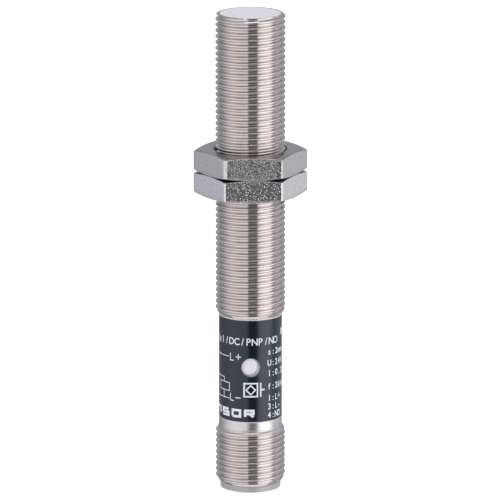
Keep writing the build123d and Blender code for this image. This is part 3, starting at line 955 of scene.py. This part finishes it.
# ------------------------------------------------------------------ studio
CAMERA_AZIMUTH_DEG = -1.2
CAMERA_ELEVATION_DEG = 13.3
CAMERA_DISTANCE = 0.937
CAMERA_TARGET = (-0.00007, 0.0, 0.0415)
CAMERA_LENS = 395.7
CAMERA_SENSOR = 36.0
CAMERA_CLIP = (0.01, 10.0)
FLOOR_HALF = 0.6
FLOOR_DROP = 0.00002
FLOOR_GLOW = 0.55
WHITE = (1.0, 1.0, 1.0)

# brightness round the horizon by azimuth in degrees, 0 at the front, positive to the right
HORIZON = (
    (-180, (0.33, 0.36, 0.41)),
    (-132, (0.36, 0.39, 0.44)),
    (-112, (0.55, 0.58, 0.63)),
    (-94, (0.81, 0.84, 0.89)),
    (-80, (1.04, 1.05, 1.07)),
    (-66, (1.15, 1.16, 1.18)),
    (-12, (1.09, 1.12, 1.15)),
    (-9.2, (1.04, 1.08, 1.11)),
    (-7.8, (0.23, 0.24, 0.25)),
    (0, (0.14, 0.15, 0.16)),
    (14, (0.13, 0.14, 0.15)),
    (25.0, (0.22, 0.23, 0.24)),
    (27.5, (1.12, 1.13, 1.16)),
    (33, (1.55, 1.57, 1.6)),
    (42, (1.95, 1.97, 2.0)),
    (68, (1.95, 1.97, 2.0)),
    (78, (1.6, 1.62, 1.65)),
    (86.5, (1.3, 1.32, 1.35)),
    (88.5, (0.64, 0.67, 0.72)),
    (112, (0.73, 0.76, 0.81)),
    (127, (0.71, 0.74, 0.79)),
    (140, (0.49, 0.52, 0.57)),
    (180, (0.33, 0.36, 0.41)),
)
RAMP_SCALE = 2.7  # the ramp holds the horizon's brightness divided by this


def build_world():
    """Soft boxes round the object: bright right, softer left, a narrow dark gap, greys behind."""
    world = bpy.data.worlds.new("studio")
    bpy.context.scene.world = world
    world.use_nodes = True
    tree = NodeTree(world.node_tree)
    tree.nodes.clear()

    def smooth(value, low, high):
        return tree.remap(value, "SMOOTHSTEP", From_Min=low, From_Max=high)

    def mix(factor, a, b, blend="MIX"):
        node = tree.add("ShaderNodeMix", data_type="RGBA", blend_type=blend)
        tree.link(factor, node.inputs["Factor"])
        colour_a, colour_b, colour_out = node.inputs[6], node.inputs[7], node.outputs[2]
        tree.feed(a, colour_a)
        tree.feed(b, colour_b)
        return colour_out

    x, y, z = tree.split(tree.add("ShaderNodeTexCoord").outputs["Generated"])
    turned = tree.value("DEGREES", tree.value("ARCTAN2", x, tree.value("MULTIPLY", y, -1.0)))
    azimuth = tree.value("SUBTRACT", turned, CAMERA_AZIMUTH_DEG)
    elevation = tree.value("DEGREES", tree.value("ARCSINE", z))

    stops = [
        ((degrees + 180.0) / 360.0, tuple(c / RAMP_SCALE for c in colour))
        for degrees, colour in HORIZON
    ]
    place = tree.value("DIVIDE", tree.value("ADD", azimuth, 180.0), 360.0)
    horizon = tree.add("ShaderNodeVectorMath", operation="SCALE")
    tree.link(tree.ramp(place, *stops), horizon.inputs[0])
    horizon.inputs["Scale"].default_value = RAMP_SCALE

    # zones above and below the horizon, each laid over the ones before
    off_front = tree.value("ABSOLUTE", azimuth)
    ahead = smooth(off_front, 110.0, 80.0)
    behind = tree.value("MULTIPLY", smooth(off_front, 105.0, 150.0), smooth(elevation, -5.0, 5.0))
    pattern = mix(behind, horizon.outputs[0], (0.44, 0.45, 0.48))
    off_level = tree.value("ABSOLUTE", tree.value("ADD", elevation, 15.0))
    pattern = mix(smooth(off_level, 12.0, 32.0), pattern, (1.15, 1.16, 1.19), "DARKEN")
    high_ahead = tree.value("MULTIPLY", smooth(elevation, 4.0, 24.0), ahead)
    pattern = mix(high_ahead, pattern, (0.6, 0.61, 0.63), "LIGHTEN")
    pattern = mix(smooth(elevation, -24.0, -38.0), pattern, (0.45, 0.46, 0.48), "LIGHTEN")
    pattern = mix(smooth(elevation, 38.0, 56.0), pattern, (0.52, 0.53, 0.56))
    pattern = mix(smooth(elevation, 66.0, 70.0), pattern, (0.85, 0.86, 0.89))
    pattern = mix(smooth(elevation, 76.0, 79.0), pattern, (3.0, 3.02, 3.06))
    low_ahead = tree.value("MAXIMUM", ahead, 0.4)
    below = tree.value("MULTIPLY", smooth(elevation, -34.0, -44.0), low_ahead)
    pattern = mix(below, pattern, (0.22, 0.23, 0.25))
    pattern = mix(smooth(elevation, -55.0, -61.0), pattern, (1.1, 1.11, 1.14))

    # the backdrop that the camera sees is plain white
    seen = tree.add("ShaderNodeLightPath").outputs["Is Camera Ray"]
    background = tree.add("ShaderNodeBackground")
    tree.link(mix(seen, pattern, WHITE), background.inputs["Color"])
    output = tree.add("ShaderNodeOutputWorld")
    tree.link(background.outputs[0], output.inputs["Surface"])


def build_floor():
    """Plain white floor that the camera sees and the metal doesn't."""
    h = FLOOR_HALF
    mesh = bpy.data.meshes.new("floor")
    mesh.from_pydata([(-h, -h, 0), (h, -h, 0), (h, h, 0), (-h, h, 0)], [], [(0, 1, 2, 3)])
    floor = bpy.data.objects.new("floor", mesh)
    floor.location.z = -FLOOR_DROP
    bpy.context.scene.collection.objects.link(floor)
    paint = Shader("floor_paint", (0.9, 0.9, 0.9), 0.9)
    paint.set("Emission Color", (*WHITE, 1.0))
    paint.set("Emission Strength", FLOOR_GLOW)
    paint.set("Specular IOR Level", 0.0)
    mesh.materials.append(paint.material)
    for ray in ("diffuse", "glossy", "transmission", "shadow", "volume_scatter"):
        setattr(floor, f"visible_{ray}", False)


def build_camera():
    elevation = math.radians(CAMERA_ELEVATION_DEG)
    azimuth = math.radians(CAMERA_AZIMUTH_DEG)
    data = bpy.data.cameras.new("camera")
    data.lens, data.sensor_width = CAMERA_LENS, CAMERA_SENSOR
    data.clip_start, data.clip_end = CAMERA_CLIP
    camera = bpy.data.objects.new("camera", data)
    level = math.cos(elevation)
    back = Vector((level * math.sin(azimuth), -level * math.cos(azimuth), math.sin(elevation)))
    camera.location = Vector(CAMERA_TARGET) + back * CAMERA_DISTANCE
    camera.rotation_euler = (math.pi / 2 - elevation, 0, azimuth)
    bpy.context.scene.collection.objects.link(camera)
    bpy.context.scene.camera = camera


# ------------------------------------------------------------------ the whole scene
build_housing()
build_film()
build_print()
build_window()
build_cap()
build_nut("hex_nut_upper", "lock_nut_upper", "upper_nut", UPPER_CORNERS, upper_nut_steel, True)
build_nut("hex_nut_lower", "lock_nut_lower", "lower_nut", LOWER_CORNERS, lower_nut_steel, False)

for node_name, node_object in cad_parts.items():
    if not node_object.hide_render:
        node_object.data.materials.clear()
        node_object.data.materials.append(NODE_FINISH[node_name].material)

build_world()
build_floor()
build_camera()
scene = bpy.context.scene
scene.view_settings.view_transform = "Standard"
scene.cycles.use_denoising = True
